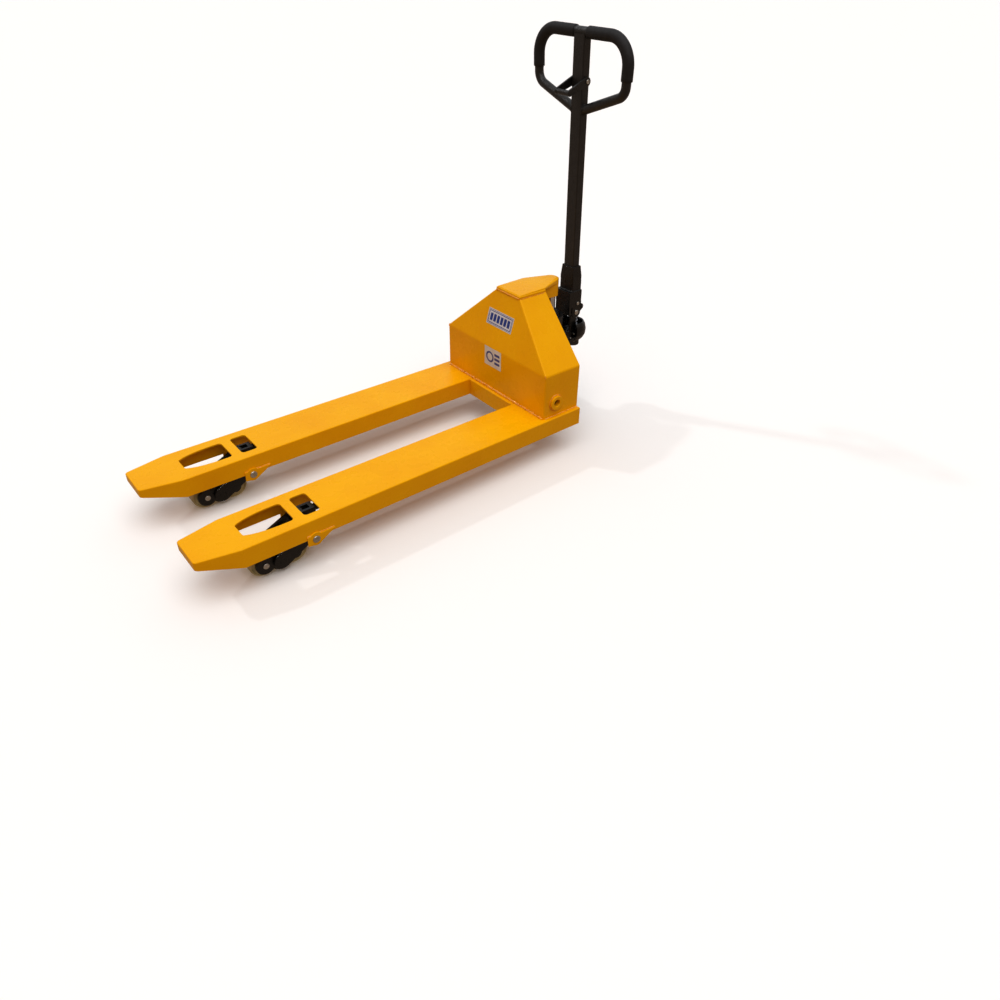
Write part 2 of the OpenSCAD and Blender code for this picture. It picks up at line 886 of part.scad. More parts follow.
module handle_loop() {
    color("black") at_handle() difference() {
        loop_bar(loop_r, 20);
        loop_bar(loop_r - 2.5, 12);
        translate([-tube_w / 2, -20, neck_z - 30]) cube([tube_w, 40, 120]);
    }
}

module grip_sleeves() {
    color("black") at_handle() both_sides() difference() {
        rod_x(loop_r + 3, 26, 112, [0, handle_l]);
        rod_x(loop_r, 25, 113, [0, handle_l]);
    }
}

lever_z = handle_l - 130;

// Bail that the fingers pull up to lower the forks or push down to pump.
module control_lever() {
    side_in = tube_w / 2 + 1.5;
    color("black") at_handle() difference() {
        union() {
            both_sides() through_x(side_in, side_in + 6) {
                link([0, lever_z], [-70, lever_z - 26], 13, 9);
            }
            rod_x(8, -side_in, side_in, [-70, lever_z - 26]);
        }
        rod_x(4 + clear, -40, 40, [0, lever_z]);
    }
}

module lever_pin() {
    color("silver") at_handle() {
        rod_x(4, -32, 32, [0, lever_z]);
        both_sides() rod_x(6.5, 32, 34, [0, lever_z], 24);
    }
}

// Rod inside the tube that carries the lever's movement down to the pump.
module pull_rod() {
    color("silver") at_handle() translate([0, 0, 66]) {
        cylinder(r = 3, h = lever_z - 106, $fn = 24);
    }
}

// Valve lever beside the pump body.
module release_arm() {
    color("dimgray") difference() {
        union() {
            rod_x(9, 51, 57, valve_at);
            through_x(51, 57) link(valve_at, [valve_at[0] + 58, valve_at[1] + 12], 9, 6);
        }
        rod_x(valve_pin_r + clear, 50, 58, valve_at);
        rod_x(3, 50, 58, [valve_at[0] + 58, valve_at[1] + 12]);
    }
}

left_fork();
right_fork();
cross_member();
front_plate();
left_cheek();
right_cheek();
head_cap();
pivot_brackets();
arm_shafts();
rocker_shaft();
shaft_bushes();
ram();
labels();
rocker_arm();
rod_pins();
left_push_rod();
right_push_rod();
left_wheel_arm();
right_wheel_arm();
left_arm_pins();
right_arm_pins();
left_bogie();
right_bogie();
left_roller_axles();
right_roller_axles();
left_front_roller();
left_rear_roller();
right_front_roller();
right_rear_roller();
left_front_bearings();
left_rear_bearings();
right_front_bearings();
right_rear_bearings();
thrust_plate();
link_pins();
thrust_bearing();
pump_body();
spring_guard();
steer_axle();
axle_clips();
left_wheel_hub();
right_wheel_hub();
left_tyre();
right_tyre();
left_wheel_bearings();
right_wheel_bearings();
pivot_pin();
plunger();
pump_spring();
handle_base();
roller_pin();
pump_roller();
base_bolt();
handle_tube();
handle_loop();
grip_sleeves();
control_lever();
lever_pin();
pull_rod();
release_arm();
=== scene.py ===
import json
import math
import random

import bmesh
import bpy
from mathutils import Matrix, Vector


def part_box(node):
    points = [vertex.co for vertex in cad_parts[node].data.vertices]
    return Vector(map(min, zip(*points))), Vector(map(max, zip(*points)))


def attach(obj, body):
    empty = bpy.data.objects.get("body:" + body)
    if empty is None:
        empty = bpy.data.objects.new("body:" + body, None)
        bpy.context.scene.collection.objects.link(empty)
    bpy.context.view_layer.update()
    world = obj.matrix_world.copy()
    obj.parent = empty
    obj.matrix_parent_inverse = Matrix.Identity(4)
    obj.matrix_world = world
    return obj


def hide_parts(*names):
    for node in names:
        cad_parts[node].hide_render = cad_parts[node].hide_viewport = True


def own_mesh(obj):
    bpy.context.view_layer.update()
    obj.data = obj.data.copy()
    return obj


# Looks of the hand pallet jack. Lengths are in metres in the row frame: forks point to -Y, +Z is up.

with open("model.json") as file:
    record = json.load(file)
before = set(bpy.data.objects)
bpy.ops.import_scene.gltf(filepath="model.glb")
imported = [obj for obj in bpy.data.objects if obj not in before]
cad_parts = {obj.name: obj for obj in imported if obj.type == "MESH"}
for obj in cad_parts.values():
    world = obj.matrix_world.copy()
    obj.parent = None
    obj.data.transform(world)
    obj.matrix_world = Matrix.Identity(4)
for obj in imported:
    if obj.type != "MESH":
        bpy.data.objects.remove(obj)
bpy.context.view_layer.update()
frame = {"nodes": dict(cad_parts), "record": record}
record = frame["record"]
slot_of = {part["node"]: part["material_slot"] for part in record["subparts"]}
body_of = {node: body for body, nodes in record["behaviour"]["bodies"].items() for node in nodes}
dice = random.Random(7)

X = Vector((1, 0, 0))
Y = Vector((0, 1, 0))
Z = Vector((0, 0, 1))


# ---- Camera ----

CAMERA_AT = (1.8496, -1.5012, 1.4387)  # its y is measured from the front plate
CAMERA_TURN = Vector((1.995, 0.932, -0.448))  # turn from world to view, as an axis as long as the angle
FOCAL_MM = 27.78
SHIFT = (-0.0302, -0.0317)


def make_camera():
    """The photograph's view: from the right of the fork tips, above, looking at the housing."""
    camera = bpy.data.objects.new("camera", bpy.data.cameras.new("camera"))
    bpy.context.scene.collection.objects.link(camera)
    bpy.context.scene.camera = camera
    x, y, z = CAMERA_AT
    camera.location = (x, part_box("front_plate")[0].y + y, z)
    world_to_view = Matrix.Rotation(CAMERA_TURN.length, 3, CAMERA_TURN.normalized())
    right, down, forward = world_to_view.row
    axes = Matrix((right, -down, -forward)).transposed()
    camera.rotation_mode = "QUATERNION"
    camera.rotation_quaternion = axes.to_quaternion()
    camera.data.sensor_width = 36
    camera.data.lens = FOCAL_MM
    camera.data.shift_x, camera.data.shift_y = SHIFT
    camera.data.clip_start = 0.05


make_camera()


# ---- Materials ----

def srgb(code):
    """Linear colour of a hex code."""
    parts = [int(code[i:i + 2], 16) / 255 for i in (0, 2, 4)]
    return [p / 12.92 if p <= 0.04045 else ((p + 0.055) / 1.055) ** 2.4 for p in parts] + [1.0]


class Shader:
    """A Principled material built from textures in the object's own space."""

    def __init__(self, name, roughness, **sockets):
        self.material = bpy.data.materials.new(name)
        self.material.use_nodes = True
        self.nodes = self.material.node_tree.nodes
        self.links = self.material.node_tree.links
        self.surface = self.nodes["Principled BSDF"]
        self.place = self.nodes.new("ShaderNodeTexCoord").outputs["Object"]
        self.surface.inputs["Roughness"].default_value = roughness
        for socket, value in sockets.items():
            self.surface.inputs[socket.replace("_", " ")].default_value = value
        self.normal = None

    def stretched(self, stretch):
        """Coordinates scaled per axis, for brushed or drawn marks."""
        mapping = self.nodes.new("ShaderNodeMapping")
        mapping.inputs["Scale"].default_value = stretch
        self.links.new(self.place, mapping.inputs["Vector"])
        return mapping.outputs["Vector"]

    def noise(self, scale, detail=3.0, low=0.35, high=0.65, to_low=0.0, to_high=1.0, stretch=None):
        """Noise that goes from to_low to to_high over its middle range."""
        texture = self.nodes.new("ShaderNodeTexNoise")
        texture.inputs["Scale"].default_value = scale
        texture.inputs["Detail"].default_value = detail
        self.links.new(self.stretched(stretch) if stretch else self.place, texture.inputs["Vector"])
        spread = self.nodes.new("ShaderNodeMapRange")
        for socket, value in zip(("From Min", "From Max", "To Min", "To Max"), (low, high, to_low, to_high)):
            spread.inputs[socket].default_value = value
        self.links.new(texture.outputs["Fac"], spread.inputs["Value"])
        return spread.outputs["Result"]

    def cells(self, scale):
        """Smooth cells, for hammered paint."""
        texture = self.nodes.new("ShaderNodeTexVoronoi")
        texture.feature = "SMOOTH_F1"
        texture.inputs["Scale"].default_value = scale
        texture.inputs["Smoothness"].default_value = 0.6
        self.links.new(self.place, texture.inputs["Vector"])
        return texture.outputs["Distance"]

    def mix(self, factor, first, second):
        """Colour between two colours or colour outputs."""
        node = self.nodes.new("ShaderNodeMix")
        node.data_type = "RGBA"
        self.links.new(factor, node.inputs["Factor"])
        for socket, value in ((node.inputs[6], first), (node.inputs[7], second)):
            if isinstance(value, list):
                socket.default_value = value
            else:
                self.links.new(value, socket)
        return node.outputs[2]

    def colour(self, value):
        """Base colour, from a colour or a colour output."""
        if isinstance(value, list):
            self.surface.inputs["Base Color"].default_value = value
        else:
            self.links.new(value, self.surface.inputs["Base Color"])

    def drive(self, socket, value):
        """Lets an output set one of the surface's sockets."""
        self.links.new(value, self.surface.inputs[socket])

    def bump(self, height, depth, strength=1.0):
        """Adds a bump of that depth in metres on top of the ones before it."""
        node = self.nodes.new("ShaderNodeBump")
        node.inputs["Distance"].default_value = depth
        node.inputs["Strength"].default_value = strength
        self.links.new(height, node.inputs["Height"])
        if self.normal:
            self.links.new(self.normal, node.inputs["Normal"])
        self.normal = node.outputs["Normal"]
        self.links.new(self.normal, self.surface.inputs["Normal"])
        if "Coat Normal" in self.surface.inputs:
            self.links.new(self.normal, self.surface.inputs["Coat Normal"])


def yellow_enamel():
    """Baked enamel with orange peel, faint thin patches and a few dark specks."""
    s = Shader("yellow_enamel", 0.3, Specular_IOR_Level=0.32, Specular_Tint=(1.0, 0.74, 0.3, 1.0))
    patches = s.mix(s.noise(7, 5, 0.3, 0.7), srgb("F5B800"), srgb("F0AE00"))
    s.colour(s.mix(s.noise(1500, 2, 0.68, 0.8, 0, 0.12), patches, srgb("9A6000")))
    s.drive("Roughness", s.noise(26, 5, 0.3, 0.75, 0.24, 0.33))
    s.bump(s.noise(240, 2, 0.2, 0.8), 0.00007)
    s.bump(s.noise(28, 2, 0.2, 0.8), 0.00012)
    return s.material


def weld_enamel():
    """The same enamel where it lies thick and wet over the welds."""
    s = Shader("weld_enamel", 0.2, Coat_Weight=1.0, Coat_Roughness=0.07)
    s.colour(s.mix(s.noise(90, 4, 0.3, 0.7), srgb("F7AE14"), srgb("E39300")))
    s.drive("Roughness", s.noise(200, 4, 0.3, 0.75, 0.12, 0.3))
    s.bump(s.noise(420, 3, 0.25, 0.75), 0.00035)
    return s.material


def black_paint():
    """Hammered black paint of the handle."""
    s = Shader("black_paint", 0.38, Coat_Weight=0.25, Coat_Roughness=0.2)
    dust = s.mix(s.noise(60, 6, 0.45, 0.8, 0, 0.5), srgb("1B1A1A"), srgb("3C3A39"))
    s.colour(s.mix(s.cells(420), dust, srgb("111111")))
    s.drive("Roughness", s.noise(180, 4, 0.3, 0.7, 0.26, 0.5))
    s.bump(s.cells(420), 0.0009, 0.8)
    s.bump(s.noise(900, 2, 0.3, 0.7), 0.00012)
    return s.material


def cast_black():
    """Gloss black paint over a rough casting, with greyish dust in soft patches."""
    s = Shader("cast_black", 0.34, Coat_Weight=0.35, Coat_Roughness=0.14, Specular_IOR_Level=0.35)
    s.colour(s.mix(s.noise(45, 6, 0.5, 0.8, 0, 0.35), srgb("0A0A0A"), srgb("232221")))
    s.drive("Roughness", s.noise(70, 5, 0.35, 0.7, 0.2, 0.46))
    s.bump(s.noise(130, 5, 0.25, 0.75), 0.0006)
    s.bump(s.noise(700, 3, 0.3, 0.7), 0.0002)
    return s.material


def zinc_plate():
    """Bright zinc with a faint yellow-blue cast and turning marks."""
    s = Shader("zinc_plate", 0.3, Metallic=1.0)
    s.colour(s.mix(s.noise(85, 5, 0.3, 0.7), srgb("C9CCD0"), srgb("B7B4A6")))
    s.drive("Roughness", s.noise(160, 5, 0.3, 0.7, 0.2, 0.42))
    s.bump(s.noise(420, 4, 0.3, 0.7, stretch=(8, 1, 1)), 0.00006)
    return s.material


def chrome_rod():
    """Hard chrome with fine drawn lines along its length."""
    s = Shader("chrome_rod", 0.09, Metallic=1.0)
    s.colour(s.mix(s.noise(40, 3), srgb("DADDE0"), srgb("C4C8CD")))
    s.drive("Roughness", s.noise(300, 4, 0.3, 0.7, 0.06, 0.15, (1, 1, 0.05)))
    return s.material


def nylon():
    """Cream nylon, slightly translucent, with a moulded skin and light scuffs round the tread."""
    s = Shader("nylon", 0.42, Subsurface_Weight=0.25, Subsurface_Scale=0.006, Coat_Weight=0.1)
    s.surface.inputs["Subsurface Radius"].default_value = (1.0, 0.85, 0.5)
    base = s.mix(s.noise(35, 5, 0.35, 0.7), srgb("C2B98F"), srgb("A39A72"))
    s.colour(s.mix(s.noise(260, 4, 0.62, 0.8, 0, 0.5, (6, 1, 1)), base, srgb("7E765E")))
    s.drive("Roughness", s.noise(190, 4, 0.3, 0.7, 0.34, 0.55))
    s.bump(s.noise(380, 3, 0.3, 0.7, stretch=(5, 1, 1)), 0.00012)
    return s.material


def bearing_steel():
    """Ground steel with a film of grease."""
    s = Shader("bearing_steel", 0.32, Metallic=1.0)
    s.colour(s.mix(s.noise(120, 4, 0.4, 0.75), srgb("A9ABAE"), srgb("6E6C66")))
    s.drive("Roughness", s.noise(240, 4, 0.3, 0.7, 0.22, 0.5))
    return s.material


def hub_grey():
    """Dark painted casting of the wheel hubs."""
    s = Shader("hub_grey", 0.45, Coat_Weight=0.2, Coat_Roughness=0.3)
    s.colour(s.mix(s.noise(60, 5, 0.4, 0.75), srgb("3A3B3D"), srgb("2A2A2B")))
    s.bump(s.noise(260, 5, 0.3, 0.7), 0.0004)
    return s.material


def tyre_rubber():
    """Solid rubber with a dull, lightly dusted tread."""
    s = Shader("tyre_rubber", 0.7)
    s.colour(s.mix(s.noise(90, 6, 0.45, 0.8, 0, 0.6), srgb("1D1D1E"), srgb("3A3835")))
    s.bump(s.noise(600, 4, 0.3, 0.7), 0.00025)
    return s.material


def grip_rubber():
    """Moulded rubber of the hand grips, finely grained."""
    s = Shader("grip_rubber", 0.62)
    s.colour(s.mix(s.noise(70, 5, 0.45, 0.8, 0, 0.5), srgb("17171A"), srgb("2C2C30")))
    s.bump(s.noise(1100, 3, 0.3, 0.7), 0.00022)
    return s.material


def label_face():
    """White vinyl with a satin skin that lies over the paint's slight waves."""
    s = Shader("label_face", 0.35, Coat_Weight=0.3, Coat_Roughness=0.15)
    s.colour(s.mix(s.noise(30, 4), srgb("DADDE6"), srgb("CFCDD2")))
    s.bump(s.noise(60, 2, 0.2, 0.8), 0.00012)
    return s.material


def label_ink():
    """Dark blue print."""
    s = Shader("label_ink", 0.4)
    s.colour(s.mix(s.noise(500, 3, 0.3, 0.75), srgb("1F3A8A"), srgb("2D4A99")))
    return s.material


def spring_steel():
    """Plated spring wire, drawn along its length."""
    s = Shader("spring_steel", 0.3, Metallic=1.0)
    s.colour(s.mix(s.noise(150, 4), srgb("A7AAAE"), srgb("84868A")))
    s.drive("Roughness", s.noise(420, 4, 0.3, 0.7, 0.24, 0.44))
    return s.material


MATERIALS = {make.__name__: make() for make in (
    yellow_enamel, weld_enamel, black_paint, cast_black, zinc_plate, chrome_rod, nylon, bearing_steel,
    hub_grey, tyre_rubber, grip_rubber, label_face, label_ink, spring_steel)}


# ---- Mesh tools ----

def centre(node):
    """Middle of a CAD node's box."""
    low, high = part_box(node)
    return (low + high) / 2


def size(node):
    """Width, depth and height of a CAD node's box."""
    low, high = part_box(node)
    return high - low


def under(node):
    """Point on the floor under a CAD node's middle."""
    at = centre(node)
    return Vector((at.x, at.y, 0))


def prism(bm, outline, at, along):
    """Solid from an outline. at(u, v) gives its first face's points, and along is the way across."""
    first = [bm.verts.new(at(u, v)) for u, v in outline]
    last = [bm.verts.new(at(u, v) + along) for u, v in outline]
    bm.faces.new(first)
    bm.faces.new(last[::-1])
    for i in range(len(outline)):
        j = (i + 1) % len(outline)
        bm.faces.new((first[i], first[j], last[j], last[i]))


def revolve(bm, profile, at, axis=X, steps=96, closed=False):
    """Turns a profile of (place along the axis, radius) round the axis through at."""
    side = Y if axis == X else X
    other = axis.cross(side)
    rings = []
    for along, radius in profile:
        count = steps if radius > 1e-6 else 1
        rings.append([
            bm.verts.new(at + axis * along + radius * (
                side * math.cos(math.tau * i / steps) + other * math.sin(math.tau * i / steps)))
            for i in range(count)])
    for k in range(len(rings) if closed else len(rings) - 1):
        a, b = rings[k], rings[(k + 1) % len(rings)]
        for i in range(steps):
            corners = [a[i % len(a)], a[(i + 1) % len(a)], b[(i + 1) % len(b)], b[i % len(b)]]
            face = list(dict.fromkeys(corners))
            if len(face) > 2:
                bm.faces.new(face)


def both_ends(profile):
    """A profile and its mirror image in one closed run."""
    return profile + [(-along, radius) for along, radius in reversed(profile)]


def revolve_pair(bm, profile, at, steps=96):
    """A ring's closed profile turned on the left and on the right of at."""
    for sign in (-1, 1):
        revolve(bm, [(sign * along, radius) for along, radius in profile], at, steps=steps, closed=True)


def sweep(bm, path, radius, sides=24, closed=False):
    """Round bar along a path. radius is a number, or a function of the point's number."""
    count = len(path)
    reach = radius if callable(radius) else lambda i: radius
    ways = [(path[min(i + 1, count - 1)] - path[max(i - 1, 0)]).normalized() for i in range(count)]
    if closed:
        ways = [(path[(i + 1) % count] - path[i - 1]).normalized() for i in range(count)]
    side = ways[0].orthogonal().normalized()
    rings = []
    for i, (point, way) in enumerate(zip(path, ways)):
        side = (side - way * side.dot(way)).normalized()
        up = way.cross(side)
        rings.append([
            bm.verts.new(point + reach(i) * (
                side * math.cos(math.tau * j / sides) + up * math.sin(math.tau * j / sides)))
            for j in range(sides)])
    if closed:
        back = min(range(sides), key=lambda k: (rings[0][k].co - rings[-1][0].co).length)
        rings.append(rings[0][back:] + rings[0][:back])
    for a, b in zip(rings, rings[1:]):
        for j in range(sides):
            k = (j + 1) % sides
            bm.faces.new((a[j], a[k], b[k], b[j]))
    if not closed:
        bm.faces.new(rings[0][::-1])
        bm.faces.new(rings[-1])


def corner_arc(before, here, after, radius, steps):
    """Points of the arc that rounds the corner at here."""
    before, here, after = Vector(before), Vector(here), Vector(after)
    u, v = (before - here).normalized(), (after - here).normalized()
    half = math.acos(max(-1, min(1, u.dot(v)))) / 2
    middle = here + (u + v).normalized() * radius / math.sin(half)
    first = here + u * radius / math.tan(half) - middle
    last = here + v * radius / math.tan(half) - middle
    return [middle + first.lerp(last, k / steps).normalized() * radius for k in range(steps + 1)]


def rounded(corners, radius, steps=8):
    """A closed outline with every corner rounded."""
    outline = []
    for i, here in enumerate(corners):
        outline += corner_arc(corners[i - 1], here, corners[(i + 1) % len(corners)], radius, steps)
    return outline


def bar_path(corners, radii, steps=14):
    """An open path with its inner corners rounded."""
    path = [Vector(corners[0])]
    for before, here, after, radius in zip(corners, corners[1:], corners[2:], radii):
        path += corner_arc(before, here, after, radius, steps)
    return path + [Vector(corners[-1])]


def cad_mesh(*nodes):
    """The CAD nodes' solids with their flat faces whole again."""
    bm = bmesh.new()
    for node in nodes:
        bm.from_mesh(frame["nodes"][node].data)
    bmesh.ops.remove_doubles(bm, verts=bm.verts, dist=1e-6)
    bmesh.ops.dissolve_limit(bm, angle_limit=math.radians(0.5), verts=bm.verts, edges=bm.edges)
    return bm


def loose(bm, name):
    """A plain object from a mesh in the making."""
    bmesh.ops.recalc_face_normals(bm, faces=bm.faces)
    mesh = bpy.data.meshes.new(name)
    bm.to_mesh(mesh)
    bm.free()
    obj = bpy.data.objects.new(name, mesh)
    bpy.context.scene.collection.objects.link(obj)
    return obj


def bake(obj):
    """Turns an object's modifiers into its mesh."""
    made = bpy.data.meshes.new_from_object(obj.evaluated_get(bpy.context.evaluated_depsgraph_get()))
    obj.modifiers.clear()
    obj.data = made


def cut(obj, *tools):
    """Takes the tools' solids out of obj."""
    for tool in tools:
        modifier = obj.modifiers.new("cut", "BOOLEAN")
        modifier.operation = "DIFFERENCE"
        modifier.solver = "EXACT"
        modifier.object = tool
        bake(obj)
        bpy.data.objects.remove(tool)


def drill(at, radius, half):
    """Solid to cut a round hole across, reaching half to each side of at."""
    bm = bmesh.new()
    revolve(bm, [(-half, 0), (-half, radius), (half, radius), (half, 0)], at, steps=48)
    return loose(bm, "tool")


def piece(obj, slot, body, replaces=(), edge=0.0, segments=2, angle=32, material=None):
    """Gives obj its finish, rounds its sharp edges and lets it ride on its body."""
    obj.data.materials.clear()
    obj.data.materials.append(MATERIALS[material or slot])
    for face in obj.data.polygons:
        face.use_smooth = True
    if edge:
        soften = obj.modifiers.new("edges", "BEVEL")
        soften.width = edge
        soften.segments = segments
        soften.limit_method = "ANGLE"
        soften.angle_limit = math.radians(angle)
        shade = obj.modifiers.new("shading", "WEIGHTED_NORMAL")
        shade.keep_sharp = True
    else:
        obj.data.set_sharp_from_angle(angle=math.radians(angle))
    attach(obj, body)
    if replaces:
        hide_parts(*replaces)
    return obj


def finer(node, edge, segments=2):
    """The CAD node again, with rounded edges."""
    obj = loose(cad_mesh(node), node + "_finished")
    return piece(obj, slot_of[node], body_of[node], [node], edge, segments)


def casting(node, voxel, rounds, keep=0.5):
    """The CAD node as a casting: edges worn round and inner corners filled."""
    obj = loose(cad_mesh(node), node + "_casting")
    skin = obj.modifiers.new("skin", "REMESH")
    skin.mode = "VOXEL"
    skin.voxel_size = voxel
    soften = obj.modifiers.new("soften", "SMOOTH")
    soften.factor = 0.5
    soften.iterations = rounds
    thin = obj.modifiers.new("thin", "DECIMATE")
    thin.ratio = keep
    bake(obj)
    piece(obj, slot_of[node], body_of[node], [node], angle=80)
    return obj


def ring_profile(low, high, inner, outer, chamfer):
    """A ring's closed profile with all four edges chamfered."""
    return [
        (low, inner + chamfer), (low, outer - chamfer), (low + chamfer, outer),
        (high - chamfer, outer), (high, outer - chamfer), (high, inner + chamfer),
        (high - chamfer, inner), (low + chamfer, inner)]


def pin_profile(half, shaft, head_half=0.0, head=0.0, dimple=0.0022):
    """A pin centred on its place, with a centre-drilled end, and heads if head is given."""
    end = head_half or half
    rim = head or shaft
    chamfer = min(0.0012, rim * 0.15)
    side = [(-end + dimple, 0), (-end, dimple * 1.5), (-end, rim - chamfer), (-end + chamfer, rim)]
    if head:
        side += [(-half, head), (-half, shaft)]
    return side + [(-along, radius) for along, radius in reversed(side)]


# ---- Frame: forks, housing and head ----

fork_low, fork_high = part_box("right_fork")
fork_half = (fork_high.x - fork_low.x) / 2
plate_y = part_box("front_plate")[0].y
SIDES = (("left", -1), ("right", 1))
SHEET = 0.005  # thickness of the fork's sheet
FOLD = 0.0035  # radius of its folded edges
TAPER = 0.115  # length of the tip's taper
TIP_HALF = 0.057
TIP_HEIGHT = 0.025
TIP_CORNER = 0.005
# Distances in front of the plate, or behind it for the slot.
OPENING_FRONT, OPENING_REAR = 1.009, 0.875
WINDOW_FRONT, WINDOW_REAR = 0.846, 0.798
SLOT_FRONT, SLOT_REAR = 0.012, 0.140
SHAFT_HOLE = 0.0105  # radius of the arm shaft's holes
BUSH_HOLE = 0.018  # radius of the bushes' holes in the housing
SHOULDER = 0.155  # height of the plate's bend over its foot
PLATE_SLOPE = 0.3  # lean of the plate above the bend
REAR_SLOPE = 0.1  # lean of the cheeks' rear edges there
HOUSING_DEPTH = 0.150
WALL = 0.005
FRONT_WALL = 0.006
HOUSING_FOLD = 0.0045
RIPPLE = 0.0048  # length of one ripple in a weld
RIPPLE_POINTS = 6


def fork_plan(half, inset, rear):
    """Fork seen from above, as [x, y] about its middle."""
    front = fork_low.y + inset
    taper_y = fork_low.y + TAPER
    tip = TIP_HALF - inset
    return [
        (-half, rear), (-half, taper_y), (-tip, front + TIP_CORNER), (-tip + TIP_CORNER, front),
        (tip - TIP_CORNER, front), (tip, front + TIP_CORNER), (half, taper_y), (half, rear)]


def fork_underside(y):
    """Height of the fork's lower edge."""
    share = min(1, (y - fork_low.y) / TAPER)
    return fork_high.z - TIP_HEIGHT - share * (fork_high.z - TIP_HEIGHT - fork_low.z)


def fork_shell(name, middle):
    """Outer shape of a fork with its folded top edges rounded."""
    bm = bmesh.new()
    plan = fork_plan(fork_half, 0, fork_high.y)
    top = [bm.verts.new((middle + x, y, fork_high.z)) for x, y in plan]
    low = [bm.verts.new((middle + x, y, fork_underside(y))) for x, y in plan]
    bm.faces.new(top)
    bm.faces.new((low[0], low[1], low[6], low[7]))
    bm.faces.new(low[1:7])
    for i in range(8):
        j = (i + 1) % 8
        bm.faces.new((top[i], top[j], low[j], low[i]))
    bmesh.ops.recalc_face_normals(bm, faces=bm.faces)
    folds = [e for e in bm.edges if sum(v in top for v in e.verts) == 2 and not (
        e.verts[0].co.y > fork_high.y - 1e-4 and e.verts[1].co.y > fork_high.y - 1e-4)]
    for edge in bm.edges:
        a, b = (v.co for v in edge.verts)
        if max(a.y, b.y) < fork_low.y + 0.02 and (a.xy - b.xy).length < 1e-6:
            folds.append(edge)
    bmesh.ops.bevel(bm, geom=folds, offset=FOLD, segments=5, profile=0.5, affect="EDGES")
    return loose(bm, name)


def bowed_opening():
    """Outline of the roller opening: straight at the rear, its sides bowed in to a narrow round front."""
    rear, front = plate_y - OPENING_REAR, plate_y - OPENING_FRONT
    widest, corner = 0.0455, 0.010
    side = []
    for i in range(17):
        t = i / 16 * 0.985
        y = rear - corner + (front - rear + corner) * t
        side.append((widest * math.sqrt(1 - (0.86 * t) ** 2.6), y))
    side.append((side[-1][0] - 0.0045, front))
    arc = []
    for i in range(7):
        a = math.pi / 2 * i / 6
        arc.append((widest - corner + corner * math.cos(a), rear - corner + corner * math.sin(a)))
    right = side[::-1] + arc[1:]
    return right + [(-x, y) for x, y in right[::-1]]


def rectangle(half, front, rear):
    """Corners of a rectangle that is centred across the fork."""
    return [(-half, front), (half, front), (half, rear), (-half, rear)]


def fork(side):
    """Folded sheet channel, closed at its tapered tip and open below."""
    node = side + "_fork"
    middle = centre(node).x
    past = 0.01

    def upright(outline, bottom, height):
        """Solid to cut an outline out of the sheet."""
        bm = bmesh.new()
        prism(bm, outline, lambda x, y: Vector((middle + x, y, bottom)), Z * height)
        return loose(bm, "tool")

    body = fork_shell(node + "_sheet", middle)
    inside = fork_plan(fork_half - SHEET, SHEET, fork_high.y + past)
    window = rounded(rectangle(0.048, plate_y - WINDOW_FRONT, plate_y - WINDOW_REAR), 0.010)
    slot = rounded(rectangle(0.022, plate_y + SLOT_FRONT, plate_y + SLOT_REAR), 0.004)
    shaft = centre("arm_shafts")
    cut(body,
        upright(inside, fork_low.z - past, size(node).z + past - SHEET),
        upright(bowed_opening(), fork_low.z, 0.1),
        upright(window, fork_low.z, 0.1),
        upright(slot, fork_low.z + 0.02, 0.1),
        drill(Vector((middle, shaft.y, shaft.z)), SHAFT_HOLE, 0.1))
    piece(body, slot_of[node], "frame", [node], edge=0.0007)


def housing():
    """Front plate and both side walls: one shell, bent and folded, open at the back and below."""
    low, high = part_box("front_plate")
    half_low, half_top = high.x, size("head_cap").x / 2
    shoulder = low.z + SHOULDER
    lean = PLATE_SLOPE * (high.z - shoulder)
    rear = plate_y + HOUSING_DEPTH

    def shell(inset, front_inset, rear_extra, bottom, top):
        """Closed shell through three levels, and its corners level by level."""
        slope_inset = inset * 1.4
        rows = [
            (half_low - inset, bottom, plate_y + front_inset, rear + rear_extra),
            (half_low - inset, shoulder - inset * 0.42, plate_y + front_inset, rear + rear_extra),
            (half_top - slope_inset, top, plate_y + lean + front_inset,
             rear + (high.z - shoulder) * REAR_SLOPE + rear_extra)]
        bm = bmesh.new()
        levels = [
            [bm.verts.new((s * half, y, z)) for s, y in ((-1, front), (1, front), (1, back), (-1, back))]
            for half, z, front, back in rows]
        bm.faces.new(levels[0])
        bm.faces.new(levels[2])
        for a, b in zip(levels, levels[1:]):
            for i in range(4):
                j = (i + 1) % 4
                bm.faces.new((a[i], a[j], b[j], b[i]))
        bmesh.ops.recalc_face_normals(bm, faces=bm.faces)
        return bm, levels

    outer, corners = shell(0, 0, 0, low.z, high.z)
    bend = corners[1]
    folds = []
    for edge in outer.edges:
        ends = set(edge.verts)
        for a, b in zip(corners, corners[1:]):
            if ends in ({a[0], b[0]}, {a[1], b[1]}):
                folds.append(edge)
        if ends in ({bend[0], bend[1]}, {bend[1], bend[2]}, {bend[3], bend[0]}):
            folds.append(edge)
    bmesh.ops.bevel(outer, geom=folds, offset=HOUSING_FOLD, segments=5, profile=0.5, affect="EDGES")
    inner = shell(WALL, FRONT_WALL, 0.05, low.z - 0.01, high.z + 0.0001)[0]
    obj = loose(outer, "housing_shell")
    cut(obj, loose(inner, "tool"))
    shaft = centre("rocker_shaft")
    for sign in (-1, 1):
        cut(obj, drill(Vector((sign * half_low, shaft.y, shaft.z)), BUSH_HOLE, 0.02))
    piece(obj, "yellow_enamel", "frame", ["front_plate", "left_cheek", "right_cheek"], edge=0.0006)


